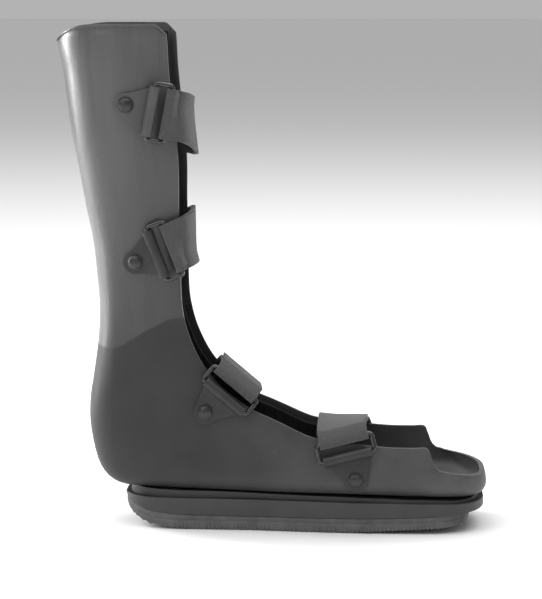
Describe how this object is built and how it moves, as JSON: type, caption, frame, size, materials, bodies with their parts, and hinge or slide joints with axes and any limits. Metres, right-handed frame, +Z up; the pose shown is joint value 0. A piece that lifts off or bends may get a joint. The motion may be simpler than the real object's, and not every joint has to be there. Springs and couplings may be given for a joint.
{
  "type": "walking boot",
  "caption": "Tall rigid orthopaedic walking boot: open moulded shell, foam lining, rocker sole and strap and buckle fastenings over the leg, ankle and toes.",
  "frame": {"origin": "on the ground, in the flat middle of the outsole, half way along the boot's length and on its middle plane", "axes": "+X towards the toe, +Z up the leg, the buckles on the -Y side"},
  "size_m": [0.3423, 0.1343, 0.4],
  "materials": {
    "moulded_plastic": "dark grey satin moulded plastic, darker and duller round the ankle",
    "foam": "black brushed foam lining",
    "midsole_plastic": "dark grey matt plastic",
    "tread_rubber": "grey matt ribbed rubber",
    "tab_plastic": "near black coated tab",
    "buckle_wire": "gloss black wire",
    "webbing": "near black woven webbing",
    "rivet_head": "black domed rivet"
  },
  "bodies": {
    "root": {"shell": "moulded_plastic", "lining": "foam", "midsole": "midsole_plastic", "outsole": "tread_rubber", "tab_1": "tab_plastic", "tab_2": "tab_plastic", "tab_3": "tab_plastic", "tab_4": "tab_plastic", "buckle_1": "buckle_wire", "buckle_2": "buckle_wire", "buckle_3": "buckle_wire", "buckle_4": "buckle_wire", "strap_1": "webbing", "strap_2": "webbing", "strap_3": "webbing", "strap_4": "webbing", "rivet_1": "rivet_head", "rivet_2": "rivet_head", "rivet_3": "rivet_head", "rivet_4": "rivet_head", "far_rivet_1": "rivet_head", "far_rivet_2": "rivet_head", "far_rivet_3": "rivet_head", "far_rivet_4": "rivet_head"}
  },
  "joints": []
}
